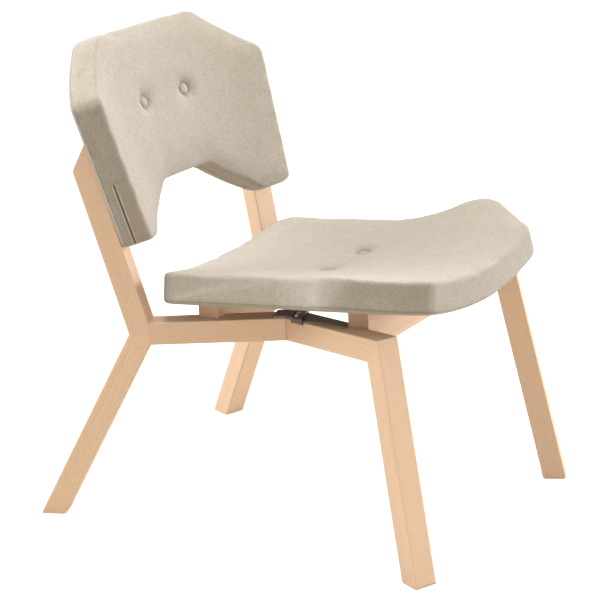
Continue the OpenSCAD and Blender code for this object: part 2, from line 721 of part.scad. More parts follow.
module seat_top_pad() color(cloth) difference() {
    at_seat() upper_pad(seat_edge, seat_rise, seat_lean);
    at_seat() at_tufts(seat_rise, seat_lean) button_pocket();
}
module seat_bottom_pad() color(cloth) difference() {
    at_seat() lower_pad(seat_edge, seat_rise, seat_lean, seat_t);
    for (n = seat_nuts) translate([n[0].x, n[0].y, n[1]])
        cylinder(d = nut_d + 4 * soft_gap, h = seat_height, $fn = 32);
}
module seat_shell() color(ply) difference() {
    at_seat() pressed_shell(seat_edge, seat_rise, seat_lean);
    at_seat_nuts() tee_pocket();
}
module back_front_pad() color(cloth) difference() {
    at_back() upper_pad(back_edge, back_rise, back_turn);
    at_back() at_tufts(back_rise, back_turn) button_pocket();
}
module back_rear_pad() color(cloth) difference() {
    at_back() lower_pad(back_edge, back_rise, back_turn, back_t);
    both_sides() {
        at_back_nuts() translate([0, 0, -back_t])
            cylinder(d = nut_d + 4 * soft_gap, h = 2 * back_t, $fn = 32);
        rear_arm() post_seat();
    }
}
module back_shell() color(ply) difference() {
    at_back() pressed_shell(back_edge, back_rise, back_turn);
    both_sides() at_back_nuts() tee_pocket();
}
// Flat that the post presses into the padded back
module post_seat() {
    translate([elbow.x, -soft_gap, elbow.y]) rotate([0, -atan2(post_dir.y, post_dir.x), 0])
        cube([post_rise + 2 * member, member + 2 * soft_gap, member + soft_gap]);
}
module seat_buttons() color(cloth) at_seat() at_tufts(seat_rise, seat_lean) button();
module back_buttons() color(cloth) at_back() at_tufts(back_rise, back_turn) button();

module seat_tee_nuts() color(zinc) at_seat_nuts() tee_nut();
module back_tee_nuts() color(zinc) both_sides() at_back_nuts() tee_nut();
module seat_bolts() color(zinc) for (n = seat_nuts)
    let (tip = n[0].z - nut_sink - bolt_past)
    translate([n[0].x, n[0].y, tip]) bolt(tip - n[1] - bolt_sink);
module back_bolts() color(zinc) both_sides() rear_arm() for (h = post_bolts)
    let (u = bolt_reach(h, shell_top, 2 * member, 8) - nut_sink - bolt_past,
        p = elbow + post_dir * h)
    translate([p.x, member / 2, p.y]) rotate([0, 90 - atan2(post_dir.x, -post_dir.y), 0])
        translate([0, 0, u]) bolt(u - bolt_sink);

// Steel splice across each kink: one leaf on each rail's top
plate_edge = 1.5;
plate_low = hole_gap;
plate_top = plate_low + plate_t;
plate_lap = 2;
taper_start = 66;
taper_end = 82;
leaf_in = member * 0.26;
leaf_tip_in = member * 0.4;
// Relief hole at the strap's inward corner
relief_r = 2.5;
module leaf(points) translate([0, 0, plate_low]) linear_extrude(plate_t) polygon(points);
module right_splice_plate() color(steel) difference() {
    union() {
        intersection() {
            on_front_rail() leaf([[-member, plate_edge], [taper_start, plate_edge],
                [taper_end, leaf_in],
                [plate_front + (member - plate_edge - leaf_tip_in) * tan(front_swing), leaf_tip_in],
                [plate_front, member - plate_edge], [-member, member - plate_edge]]);
            kink_half(-1);
        }
        intersection() {
            on_rear_rail() leaf([[-member, plate_edge], [plate_rear, plate_edge],
                [plate_rear, member - plate_edge], [-member, member - plate_edge]]);
            kink_half(1, plate_lap);
        }
    }
    on_front_rail() {
        screw_holes(clamp_screw_spots);
        sunk_screw_holes(front_screw_spots);
        translate([-plate_edge * tan(clamp_slant / 2), plate_edge, -plate_t])
            cylinder(r = relief_r, h = 3 * plate_t, $fn = 24);
    }
    on_rear_rail() sunk_screw_holes(rear_screw_spots);
}
module sunk_screw_holes(spots) {
    screw_holes(spots);
    for (p = spots) translate([p.x, p.y, plate_top - sink_t])
        cylinder(d1 = screw_d, d2 = screw_head_d + 2 * hole_gap, h = sink_t + 0.01, $fn = 32);
}

// Clamp folded over the splice and the rail's edges, with a raised rib at each end
rib_w = 5.5;
rib_h = 2;
lip_r = 0.6;
fold_r = 2;
module clamp_profile(extra) {
    g = hole_gap;
    top = plate_top + clamp_t + extra;
    polygon(outline([[-g - clamp_t, -clamp_lip, lip_r], [-g, -clamp_lip, lip_r],
        [-g, plate_top, lip_r], [member + g, plate_top, lip_r],
        [member + g, -clamp_lip, lip_r], [member + g + clamp_t, -clamp_lip, lip_r],
        [member + g + clamp_t, top, fold_r], [-g - clamp_t, top, fold_r]], 3, member));
}
// Folded bar along the front rail, cut off by two slanted ends
module slanted_bar(from, length, extra) {
    run = 2 * member * tan(clamp_slant);
    intersection() {
        translate([from - run, 0, 0]) rotate([90, 0, 90]) linear_extrude(2 * run + length)
            clamp_profile(extra);
        translate([0, 0, -member]) linear_extrude(2 * member)
            polygon([[from + run / 2, -member], [from + length + run / 2, -member],
                [from + length - run, 2 * member], [from - run, 2 * member]]);
    }
}
module right_splice_clamp() color(steel) intersection() {
    on_front_rail() difference() {
        union() {
            slanted_bar(clamp_start, clamp_len, 0);
            slanted_bar(clamp_start, rib_w, rib_h);
            slanted_bar(clamp_start + clamp_len - rib_w, rib_w, rib_h);
        }
        screw_holes(clamp_screw_spots);
    }
    kink_half(-1, -plate_lap - hole_gap);
}
screw_head_h = 2.8;
module clamp_screws() color(zinc) both_sides() on_front_rail() for (p = clamp_screw_spots)
    translate([p.x, p.y, plate_top + clamp_t]) {
        translate([0, 0, hole_gap - screw_len]) cylinder(d = screw_d, h = screw_len, $fn = 24);
        rotate_extrude($fn = 32) polygon([[0, 0], [screw_head_d / 2, 0],
            [screw_head_d / 2, 1], [screw_head_d / 2 - 0.7, 2], [screw_head_d / 2 - 1.8, 2.6],
            [0, screw_head_h]]);
    }
module sunk_screw() {
    translate([0, 0, plate_top - screw_len + hole_gap])
        cylinder(d = screw_d, h = screw_len - hole_gap - sink_t, $fn = 24);
    translate([0, 0, plate_top - sink_t]) cylinder(d1 = screw_d, d2 = screw_head_d, h = sink_t, $fn = 32);
}
module plate_screws() color(steel) both_sides() {
    on_front_rail() for (p = front_screw_spots) translate([p.x, p.y, 0]) sunk_screw();
    on_rear_rail() for (p = rear_screw_spots) translate([p.x, p.y, 0]) sunk_screw();
}

module right_frame_dowels() color(wood) {
    front_arm() front_corner_dowels(0);
    rear_arm() {
        fork_dowels(0);
        elbow_dowels(0);
    }
    kink_dowels(0);
}
module beam_dowels() color(wood) both_sides() {
    front_beam_dowels(0);
    rear_beam_dowels(0);
}

right_front_leg();
right_front_rail();
right_rear_rail();
right_rear_leg();
right_back_post();
left_side() right_front_leg();  // left_front_leg
left_side() right_front_rail();  // left_front_rail
left_side() right_rear_rail();  // left_rear_rail
left_side() right_rear_leg();  // left_rear_leg
left_side() right_back_post();  // left_back_post
front_cross_beam();
rear_cross_beam();
seat_shell();
seat_top_pad();
seat_bottom_pad();
back_shell();
back_front_pad();
back_rear_pad();
seat_buttons();
back_buttons();
right_splice_plate();
left_side() right_splice_plate();  // left_splice_plate
right_splice_clamp();
left_side() right_splice_clamp();  // left_splice_clamp
clamp_screws();
plate_screws();
right_frame_dowels();
left_side() right_frame_dowels();  // left_frame_dowels
beam_dowels();
seat_bolts();
seat_tee_nuts();
back_bolts();
back_tee_nuts();
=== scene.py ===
import math
from types import SimpleNamespace

import bmesh
import bpy
from mathutils import Matrix, Vector, noise


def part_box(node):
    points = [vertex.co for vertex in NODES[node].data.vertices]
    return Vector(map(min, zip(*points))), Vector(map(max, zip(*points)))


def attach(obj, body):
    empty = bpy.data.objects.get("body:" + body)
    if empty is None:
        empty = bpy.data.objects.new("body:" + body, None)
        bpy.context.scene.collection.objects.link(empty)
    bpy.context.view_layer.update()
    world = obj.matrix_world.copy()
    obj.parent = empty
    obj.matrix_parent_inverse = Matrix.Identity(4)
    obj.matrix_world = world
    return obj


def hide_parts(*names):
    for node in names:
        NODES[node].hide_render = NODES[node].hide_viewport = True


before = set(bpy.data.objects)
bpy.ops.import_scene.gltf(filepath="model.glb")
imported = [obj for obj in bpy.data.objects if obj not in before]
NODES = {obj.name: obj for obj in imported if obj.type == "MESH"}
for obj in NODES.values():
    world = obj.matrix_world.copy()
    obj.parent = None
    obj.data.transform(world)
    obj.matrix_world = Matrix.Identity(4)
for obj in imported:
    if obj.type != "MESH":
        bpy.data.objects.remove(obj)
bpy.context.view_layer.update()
MM = 0.001

# The camera's turn round the chair, its rise and its roll, in degrees
AZIMUTH, ELEVATION, ROLL = -57.07, 17.65, -2.77
# The spot the camera looks at and its way from there, in metres
TARGET = Vector((-0.03258, -0.01892, 0.3515))
DISTANCE = 3.42
# Focal length and sensor width, in millimetres
LENS, SENSOR = 125.355, 36


def place_camera():
    """Puts the camera where the photograph was taken from."""
    a, e, r = (math.radians(v) for v in (AZIMUTH, ELEVATION, ROLL))
    back = Vector((math.sin(a) * math.cos(e), -math.cos(a) * math.cos(e), math.sin(e)))
    right = Vector((math.cos(a), math.sin(a), 0))
    up = back.cross(right)
    turned = right * math.cos(r) + up * math.sin(r)
    upright = up * math.cos(r) - right * math.sin(r)
    camera = bpy.data.objects.new("camera", bpy.data.cameras.new("camera"))
    camera.data.lens = LENS
    camera.data.sensor_width = SENSOR
    camera.data.sensor_fit = "HORIZONTAL"
    camera.matrix_world = Matrix((turned, upright, back)).transposed().to_4x4()
    camera.location = TARGET + back * DISTANCE
    bpy.context.scene.collection.objects.link(camera)
    bpy.context.scene.camera = camera


place_camera()


# ---- Shader tools
def set_socket(tree, socket, value):
    """Links an input to another node's socket, or sets it to a value."""
    if isinstance(value, bpy.types.NodeSocket):
        tree.links.new(value, socket)
    else:
        socket.default_value = value


def node(tree, kind, links=None, **settings):
    """A node with its settings made, and its inputs linked to sockets or set to values."""
    made = tree.nodes.new("ShaderNode" + kind)
    for key, value in settings.items():
        setattr(made, key, value)
    for key, value in (links or {}).items():
        set_socket(tree, made.inputs[key], value)
    return made


def noise_value(tree, place, scale, detail, roughness=0.5):
    """A noise pattern's plain value at a place."""
    links = {"Vector": place, "Scale": scale, "Detail": detail, "Roughness": roughness}
    return node(tree, "TexNoise", links).outputs["Fac"]


def effect(name, inputs, outputs):
    """An empty node group for an effect that several finishes use."""
    group = bpy.data.node_groups.new(name, "ShaderNodeTree")
    for label, kind, value in inputs:
        socket = group.interface.new_socket(label, in_out="INPUT", socket_type="NodeSocket" + kind)
        socket.default_value = value
    for label, kind in outputs:
        group.interface.new_socket(label, in_out="OUTPUT", socket_type="NodeSocket" + kind)
    return group, group.nodes.new("NodeGroupInput").outputs, group.nodes.new("NodeGroupOutput").inputs


def maths(tree, operation, a, b=0.0):
    """The result of one operation on two values."""
    return node(tree, "Math", {0: a, 1: b}, operation=operation).outputs[0]


def spread(tree, value, low, high, to_low=0.0, to_high=1.0):
    """Stretches a value from the range low to high onto another range."""
    links = {"Value": value, "From Min": low, "From Max": high, "To Min": to_low, "To Max": to_high}
    return node(tree, "MapRange", links).outputs["Result"]


def blend_colours(tree, share, first, second, way="MIX"):
    """The first colour, moved towards the second by a share."""
    mix = node(tree, "Mix", data_type="RGBA", blend_type=way)
    for socket, value in zip((mix.inputs["Factor"], mix.inputs[6], mix.inputs[7]), (share, first, second)):
        set_socket(tree, socket, value)
    return mix.outputs[2]


def finish(name, roughness, **settings):
    """A material with its shader, and the shader's plain settings made on its own sockets."""
    material = bpy.data.materials.new(name)
    material.use_nodes = True
    shader = material.node_tree.nodes["Principled BSDF"]
    shader.inputs["Roughness"].default_value = roughness
    for label, value in settings.items():
        shader.inputs[label.replace("_", " ")].default_value = value
    return material, material.node_tree, shader.inputs


def use(tree, group, links):
    """Places a shared effect in a material with its own values."""
    return node(tree, "Group", links, node_tree=group).outputs


def relief(tree, shader, height, depth):
    """Bump of the given depth in metres."""
    bump = node(tree, "Bump", {"Height": height, "Strength": 1.0, "Distance": depth})
    tree.links.new(bump.outputs["Normal"], shader["Normal"])


def make_solid_wood():
    """Growth rings, fibres and short flecks of a solid stick; the grain runs along Z."""
    group, given, put = effect("solid wood", [
        ("Place", "Vector", (0, 0, 0)), ("Pale", "Color", (0.7, 0.5, 0.3, 1)),
        ("Deep", "Color", (0.5, 0.3, 0.2, 1)), ("Fleck", "Color", (0.3, 0.2, 0.1, 1)),
        ("Ring spacing", "Float", 0.004)],
        [("Color", "Color"), ("Height", "Float"), ("Sheen", "Float")])
    drawn = node(group, "Mapping", {"Vector": given["Place"], "Scale": (1, 1, 0.08)}).outputs[0]
    sway = node(group, "TexNoise", {"Vector": drawn, "Scale": 22.0, "Detail": 3.0})
    shift = node(group, "VectorMath", {0: sway.outputs["Color"], "Scale": 0.022}, operation="SCALE")
    bent = node(group, "VectorMath", {0: drawn, 1: shift.outputs[0]}, operation="ADD").outputs[0]
    across = node(group, "VectorMath", {0: bent, 1: (1, 1, 0)}, operation="MULTIPLY").outputs[0]
    radius = node(group, "VectorMath", {0: across}, operation="LENGTH").outputs["Value"]
    turn = maths(group, "DIVIDE", radius, given["Ring spacing"])
    saw = maths(group, "FRACT", turn)
    late = node(group, "MapRange", {"Value": saw, "From Min": 0.35, "From Max": 1.0},
                interpolation_type="SMOOTHSTEP").outputs["Result"]
    fibre_place = node(group, "Mapping", {"Vector": given["Place"], "Scale": (1, 1, 0.035)}).outputs[0]
    fibre = noise_value(group, fibre_place, 700.0, 3.0, 0.6)
    fleck_place = node(group, "Mapping", {"Vector": given["Place"], "Scale": (1, 0.5, 0.13)}).outputs[0]
    fleck = spread(group, noise_value(group, fleck_place, 1150.0, 1.0), 0.62, 0.72)
    broad = noise_value(group, drawn, 9.0, 3.0)
    share = maths(group, "ADD", maths(group, "MULTIPLY", late, 0.24), maths(group, "MULTIPLY", fibre, 0.4))
    share = maths(group, "ADD", share, spread(group, broad, 0.3, 0.7, -0.22, 0.3))
    colour = blend_colours(group, share, given["Pale"], given["Deep"])
    colour = blend_colours(group, maths(group, "MULTIPLY", fleck, 0.28), colour, given["Fleck"])
    group.links.new(colour, put["Color"])
    raised = maths(group, "MULTIPLY", fibre, 0.7)
    for sunk, part in ((fleck, 0.6), (late, 0.15)):
        raised = maths(group, "SUBTRACT", raised, maths(group, "MULTIPLY", sunk, part))
    group.links.new(raised, put["Height"])
    group.links.new(spread(group, fibre, 0.3, 0.7, 0.4, 0.52), put["Sheen"])
    return group


def make_woven_wool():
    """Plain weave of mottled woollen yarn, from a place on the flat cloth in metres."""
    group, given, put = effect("woven wool", [
        ("Place", "Vector", (0, 0, 0)), ("Pale yarn", "Color", (0.7, 0.6, 0.5, 1)),
        ("Dark yarn", "Color", (0.4, 0.35, 0.3, 1)), ("Yarns per metre", "Float", 620.0)],
        [("Color", "Color"), ("Height", "Float")])
    grid = node(group, "VectorMath", {0: given["Place"], "Scale": given["Yarns per metre"]},
                operation="SCALE").outputs[0]
    wander = node(group, "TexNoise", {"Vector": given["Place"], "Scale": 260.0, "Detail": 2.0})
    wander = node(group, "VectorMath", {0: wander.outputs["Color"], "Scale": 0.9}, operation="SCALE")
    grid = node(group, "VectorMath", {0: grid, 1: wander.outputs[0]}, operation="ADD").outputs[0]
    part = node(group, "SeparateXYZ", {"Vector": grid}).outputs
    warp = maths(group, "ABSOLUTE", maths(group, "SINE", maths(group, "MULTIPLY", part["X"], math.pi)))
    weft = maths(group, "ABSOLUTE", maths(group, "SINE", maths(group, "MULTIPLY", part["Y"], math.pi)))
    over = node(group, "TexChecker", {"Vector": grid, "Scale": 1.0}).outputs["Fac"]
    woven = maths(group, "ADD", maths(group, "MULTIPLY", warp, over),
                  maths(group, "MULTIPLY", weft, maths(group, "SUBTRACT", 1.0, over)))
    fluff = noise_value(group, given["Place"], 1500.0, 3.0)
    mottle = noise_value(group, given["Place"], 420.0, 4.0, 0.7)
    cloud = noise_value(group, given["Place"], 26.0, 3.0)
    threads = []
    for stretch in ((1, 0.09, 1), (0.09, 1, 1)):
        along = node(group, "Mapping", {"Vector": given["Place"], "Scale": stretch}).outputs[0]
        threads.append(noise_value(group, along, 560.0, 2.0))
    thread = maths(group, "ADD", threads[0], threads[1])
    # How much each pattern darkens the yarn, from its low to its high values
    share = spread(group, mottle, 0.35, 0.65, 0.04, 0.6)
    for pattern, low, high, to_low, to_high in (
            (cloud, 0.3, 0.7, -0.03, 0.07), (thread, 0.75, 1.25, -0.2, 0.22), (woven, 0.2, 1.0, 0.2, 0.0)):
        share = maths(group, "ADD", share, spread(group, pattern, low, high, to_low, to_high))
    share = node(group, "Clamp", {"Value": share}).outputs[0]
    group.links.new(blend_colours(group, share, given["Pale yarn"], given["Dark yarn"]), put["Color"])
    height = maths(group, "ADD", maths(group, "MULTIPLY", woven, 0.6), maths(group, "MULTIPLY", fluff, 0.5))
    group.links.new(maths(group, "SUBTRACT", height, maths(group, "MULTIPLY", mottle, 0.3)), put["Height"])
    return group


def make_worn_coat():
    """Fine unevenness of a coated or plated metal: cloudy gloss, specks and hair scratches."""
    group, given, put = effect("worn coat", [
        ("Place", "Vector", (0, 0, 0)), ("Coat", "Color", (0.1, 0.1, 0.1, 1)),
        ("Rubbed", "Color", (0.3, 0.3, 0.3, 1)),
        ("Gloss low", "Float", 0.35), ("Gloss high", "Float", 0.5)],
        [("Color", "Color"), ("Roughness", "Float"), ("Height", "Float")])
    cloud = noise_value(group, given["Place"], 90.0, 4.0)
    speck = noise_value(group, given["Place"], 2400.0, 1.0)
    drawn = node(group, "Mapping", {"Vector": given["Place"], "Scale": (1, 0.05, 1)}).outputs[0]
    hair = noise_value(group, drawn, 1800.0, 2.0)
    rubbed = maths(group, "ADD", spread(group, cloud, 0.5, 0.8, 0.0, 0.5),
                   spread(group, hair, 0.66, 0.78, 0.0, 0.5))
    group.links.new(blend_colours(group, rubbed, given["Coat"], given["Rubbed"]), put["Color"])
    gloss = node(group, "MapRange", {"Value": cloud, "From Min": 0.3, "From Max": 0.7,
                                     "To Min": given["Gloss low"], "To Max": given["Gloss high"]})
    group.links.new(gloss.outputs["Result"], put["Roughness"])
    group.links.new(maths(group, "ADD", speck, maths(group, "MULTIPLY", hair, 0.4)), put["Height"])
    return group


SOLID_WOOD = make_solid_wood()
WOVEN_WOOL = make_woven_wool()
WORN_COAT = make_worn_coat()


# ---- Wood
def stick_axes(stick):
    """Two faces' normals and the long way of a square stick, from its widest faces."""
    widest = []
    for face in stick.data.polygons:
        for entry in widest:
            if abs(entry[0].dot(face.normal)) > 0.995:
                entry[1] += face.area
                break
        else:
            widest.append([face.normal.copy(), face.area])
    widest.sort(key=lambda entry: -entry[1])
    first = widest[0][0]
    second = next(entry[0] for entry in widest if abs(entry[0].dot(first)) < 0.3)
    run = first.cross(second).normalized()
    return first, run.cross(first), run


def kink_face(stick, run):
    """A spot on the mitre where a rail meets its neighbour at the kink, and the mitre's normal."""
    ends = [face for face in stick.data.polygons if abs(face.normal.dot(run)) > 0.5 and face.area > 1e-5]
    mitre = min(ends, key=lambda face: abs(face.center.x))
    return mitre.center, mitre.normal


# Oil sinks deeper into a cut end and darkens it; a fine dark line at a mitre is painted shadow of a gap
# between the sticks
END_GRAIN = (0.36, 0.21, 0.125, 1)
END_GRAIN_DEPTH = 0.6
MITRE_SHADOW = (0.22, 0.13, 0.075, 1)
MITRE_SHADOW_DEPTH = 0.6
# Way from the mitre where the painted shadow's line begins to fade and where it ends, in metres
MITRE_SHADOW_CORE, MITRE_SHADOW_EDGE = 0.0004, 0.0016
FLECK = (0.36, 0.17, 0.07, 1)
PALE_BEECH = Vector((0.655, 0.455, 0.305))
DEEP_BEECH = Vector((0.545, 0.350, 0.214))
RING_SPACING = 0.0042
# Way along the log from one stick's place to the next, in metres
LOG_STEP = 0.83


def beech(stick, count, heart):
    """Oiled beech cut from its own place in the log, the grain along the stick."""
    shade = 1 + 0.05 * math.sin(2.4 * count)
    first, second, run = stick_axes(stick)
    turned = Matrix((first, second, run))
    low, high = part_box(stick.name)
    middle = turned @ ((low + high) / 2)
    name = "beech " + stick.name.replace("_", " ")
    material, tree, shader = finish(name, 0.45, Specular_IOR_Level=0.5)
    here = node(tree, "TexCoord").outputs["Object"]
    place = node(tree, "Mapping", {
        "Vector": here, "Rotation": turned.to_euler(),
        "Location": Vector((*heart, LOG_STEP * count)) - middle}).outputs[0]
    wood = use(tree, SOLID_WOOD, {"Place": place, "Pale": (*PALE_BEECH * shade, 1),
                                  "Deep": (*DEEP_BEECH * shade, 1), "Fleck": FLECK,
                                  "Ring spacing": RING_SPACING})
    facing = node(tree, "NewGeometry").outputs["True Normal"]
    along = node(tree, "VectorMath", {0: facing, 1: run}, operation="DOT_PRODUCT").outputs["Value"]
    cut_end = spread(tree, maths(tree, "ABSOLUTE", along), 0.8, 0.95, 0.0, END_GRAIN_DEPTH)
    colour = blend_colours(tree, cut_end, wood["Color"], END_GRAIN)
    if stick.name.endswith("_rail"):
        # Painted shadow: a fine dark line along the mitre at the kink, as if a gap lay there
        spot, normal = kink_face(stick, run)
        away = node(tree, "VectorMath", {0: here, 1: normal}, operation="DOT_PRODUCT").outputs["Value"]
        away = maths(tree, "ABSOLUTE", maths(tree, "SUBTRACT", away, spot.dot(normal)))
        mitre_shadow_line = spread(tree, away, MITRE_SHADOW_CORE, MITRE_SHADOW_EDGE, MITRE_SHADOW_DEPTH, 0.0)
        colour = blend_colours(tree, mitre_shadow_line, colour, MITRE_SHADOW)
    tree.links.new(colour, shader["Base Color"])
    tree.links.new(wood["Sheen"], shader["Roughness"])
    relief(tree, shader, wood["Height"], 0.00012)
    return material


# Each stick, and where the log's heart lay beside its middle, in metres
STICKS = [
    ("right_front_leg", (0.052, 0.031)), ("right_front_rail", (0.034, 0.060)),
    ("right_rear_rail", (0.061, 0.022)), ("right_rear_leg", (0.070, 0.018)),
    ("right_back_post", (0.044, 0.041)), ("left_front_leg", (0.022, 0.058)),
    ("left_front_rail", (0.058, 0.026)), ("left_rear_rail", (0.029, 0.064)),
    ("left_rear_leg", (0.066, 0.012)), ("left_back_post", (0.038, 0.050)),
    ("front_cross_beam", (0.071, 0.027)), ("rear_cross_beam", (0.048, 0.046)),
]


def paint(piece, material):
    """Gives the piece one material in place of any other."""
    piece.data.materials.clear()
    piece.data.materials.append(material)


for count, (name, heart) in enumerate(STICKS):
    paint(NODES[name], beech(NODES[name], count, heart))


def plain_wood(name, roughness, pale, deep, fleck, spacing, grain):
    """Wood of the inner pieces, its grain along Z."""
    material, tree, shader = finish(name, roughness)
    place = node(tree, "TexCoord").outputs["Object"]
    wood = use(tree, SOLID_WOOD, {"Place": place, "Pale": pale, "Deep": deep, "Fleck": fleck,
                                  "Ring spacing": spacing})
    tree.links.new(wood["Color"], shader["Base Color"])
    relief(tree, shader, wood["Height"], grain)
    return material


TURNED_BEECH = plain_wood("turned beech", 0.6, (0.72, 0.5, 0.3, 1), (0.55, 0.35, 0.2, 1), FLECK,
                          0.003, 0.0001)
PLYWOOD = plain_wood("pressed plywood", 0.65, (0.6, 0.43, 0.26, 1), (0.42, 0.27, 0.15, 1),
                     (0.28, 0.15, 0.07, 1), 0.0015, 0.0002)
for name in ("right_frame_dowels", "left_frame_dowels", "beam_dowels"):
    paint(NODES[name], TURNED_BEECH)
for name in ("seat_shell", "back_shell"):
    paint(NODES[name], PLYWOOD)


# ---- Metal
def metal(name, coat, rubbed, low, high, metallic, grain):
    """Coated or plated steel, its roughness between low and high and its grain in metres."""
    material, tree, shader = finish(name, low, Metallic=metallic)
    place = node(tree, "TexCoord").outputs["Object"]
    coated = use(tree, WORN_COAT, {"Place": place, "Coat": coat, "Rubbed": rubbed,
                                   "Gloss low": low, "Gloss high": high})
    tree.links.new(coated["Color"], shader["Base Color"])
    tree.links.new(coated["Roughness"], shader["Roughness"])
    relief(tree, shader, coated["Height"], grain)
    return material


DARK_STEEL = metal("dark coated steel", (0.18, 0.15, 0.13, 1), (0.32, 0.28, 0.25, 1),
                   0.36, 0.5, 0.2, 0.00006)
CLAMP_STEEL = metal("dark coated clamp steel", (0.11, 0.092, 0.082, 1), (0.2, 0.175, 0.16, 1),
                    0.28, 0.42, 0.2, 0.00006)
ZINC = metal("zinc plated steel", (0.72, 0.72, 0.7, 1), (0.82, 0.81, 0.78, 1),
             0.3, 0.44, 0.55, 0.00003)
for name in ("right_splice_plate", "left_splice_plate", "plate_screws"):
    paint(NODES[name], DARK_STEEL)
for name in ("right_splice_clamp", "left_splice_clamp"):
    paint(NODES[name], CLAMP_STEEL)
for name in ("clamp_screws", "seat_bolts", "seat_tee_nuts", "back_bolts", "back_tee_nuts"):
    paint(NODES[name], ZINC)


# ---- Upholstery
PALE_YARN = (0.388, 0.334, 0.268, 1)
DARK_YARN = (0.236, 0.199, 0.153, 1)
# Tints laid on the cushions' cloth: the colour each gives, and how strongly. The flap's cloth is a little
# darker and the hems lighter; the darkest is painted shade in the seams, the slit and the folds round the
# buttons
CLOTH_TINTS_AND_PAINTED_SHADE = {
    "on the flap": ((0.30, 0.225, 0.17, 1), 0.3),
    "on the hem": ((0.56, 0.50, 0.41, 1), 0.8),
    # Painted shade in the sunk seams, the slit and the folds round the buttons
    "in the seam": ((0.07, 0.055, 0.04, 1), 0.85),
}


def wool(name, mapped):
    """Beige mottled wool; a cushion reads its cut cloth from its map, a button its own place."""
    material, tree, shader = finish(name, 0.85, Specular_IOR_Level=0.25, Sheen_Weight=0.18,
                                    Sheen_Roughness=0.5)
    if mapped:
        place = node(tree, "UVMap", uv_map="cut cloth").outputs["UV"]
    else:
        place = node(tree, "TexCoord").outputs["Object"]
    cloth = use(tree, WOVEN_WOOL, {"Place": place, "Pale yarn": PALE_YARN, "Dark yarn": DARK_YARN})
    colour = cloth["Color"]
    if mapped:
        # Lays on the cloth's tints and the painted shade of seams, slit and folds, read from the cushion's
        # marks
        for mark, (tint, strength) in CLOTH_TINTS_AND_PAINTED_SHADE.items():
            marked = node(tree, "Attribute", attribute_name=mark).outputs["Fac"]
            colour = blend_colours(tree, maths(tree, "MULTIPLY", marked, strength), colour, tint)
    tree.links.new(colour, shader["Base Color"])
    relief(tree, shader, cloth["Height"], 0.0003)
    return material


WOOL = wool("beige wool", True)
BUTTON_WOOL = wool("beige wool on buttons", False)

# Softness of a cushion's front rim, and the way between its two buttons
EDGE = 0.006
PITCH = 0.112
# Half the width over which a dish is given, and the rise of seat and back there
DISH_SPAN = 0.2
SEAT_DISH = 0.0315
BACK_DISH = 0.0395
# Share of the back's dish that comes late, its growth away from one height, and the back's own bow
LATE_SHARE = 0.37
DISH_GROWTH, GROWTH_HEIGHT = 0.0083, 0.063
BACK_BOW = 0.0087


def seat_form(x, y):
    """Rise of the dished seat and its slope across, at a place on it."""
    share = x / DISH_SPAN
    return SEAT_DISH * share ** 2, 2 * SEAT_DISH * share / DISH_SPAN


def back_form(x, y):
    """Forward reach of the dished back and its slope across."""
    across, along = x / DISH_SPAN, y / DISH_SPAN
    late = LATE_SHARE * BACK_DISH
    early = BACK_DISH - late + DISH_GROWTH * ((y - GROWTH_HEIGHT) / DISH_SPAN) ** 2
    reach = early * across ** 2 + late * across ** 4 - BACK_BOW * along ** 2
    return reach, (2 * early * across + 4 * late * across ** 3) / DISH_SPAN


# Half outlines in millimetres: place across, place along, radius of the corner
SEAT = SimpleNamespace(
    cut=[(0, 267, 420), (-187, 248, 46), (-180.5, -43, 160), (-269, -127, 59), (-165, -255, 27),
         (0, -261, 500)],
    thick=0.0545, rear_edge=0.006, form=seat_form,
    place=Matrix.Translation((0, -0.090, 0.420)) @ Matrix.Rotation(math.radians(-5.2), 4, "X"))
BACK = SimpleNamespace(
    cut=[(-128, 125.5, 30), (-230.1, 27.5, 22), (-204.6, -210.5, 15), (-157.1, -210.5, 13),
         (-63, -130.5, 30)],
    thick=0.056, rear_edge=0.010, form=back_form,
    place=Matrix.Translation((0, 0.24857, 0.6675)) @ Matrix.Rotation(math.radians(90 - 18.2), 4, "X"))


def set_form(point, cushion):
    """Carries a point of the flat cushion onto the dished one."""
    rise, slope = cushion.form(point.x, point.y)
    away = math.hypot(1, slope)
    return cushion.place @ Vector((point.x - point.z * slope / away, point.y, rise + point.z / away))


def cut_panel(half):
    """The cushion's outline as a flat face, its corners rounded."""
    whole = half + [(-x, y, r) for x, y, r in reversed(half) if x]
    bm = bmesh.new()
    corners = [bm.verts.new((x * MM, y * MM, 0)) for x, y, r in whole]
    panel = bm.faces.new(corners)
    panel.normal_update()
    if panel.normal.z < 0:
        panel.normal_flip()
    for corner, (x, y, r) in zip(corners, whole):
        sides = [edge.other_vert(corner).co - corner.co for edge in corner.link_edges]
        half_angle = sides[0].angle(sides[1]) / 2
        bmesh.ops.bevel(bm, geom=[corner], offset=r * MM / math.tan(half_angle), offset_type="OFFSET",
                        affect="VERTICES", segments=8, profile=0.5, material=-1)
    return bm


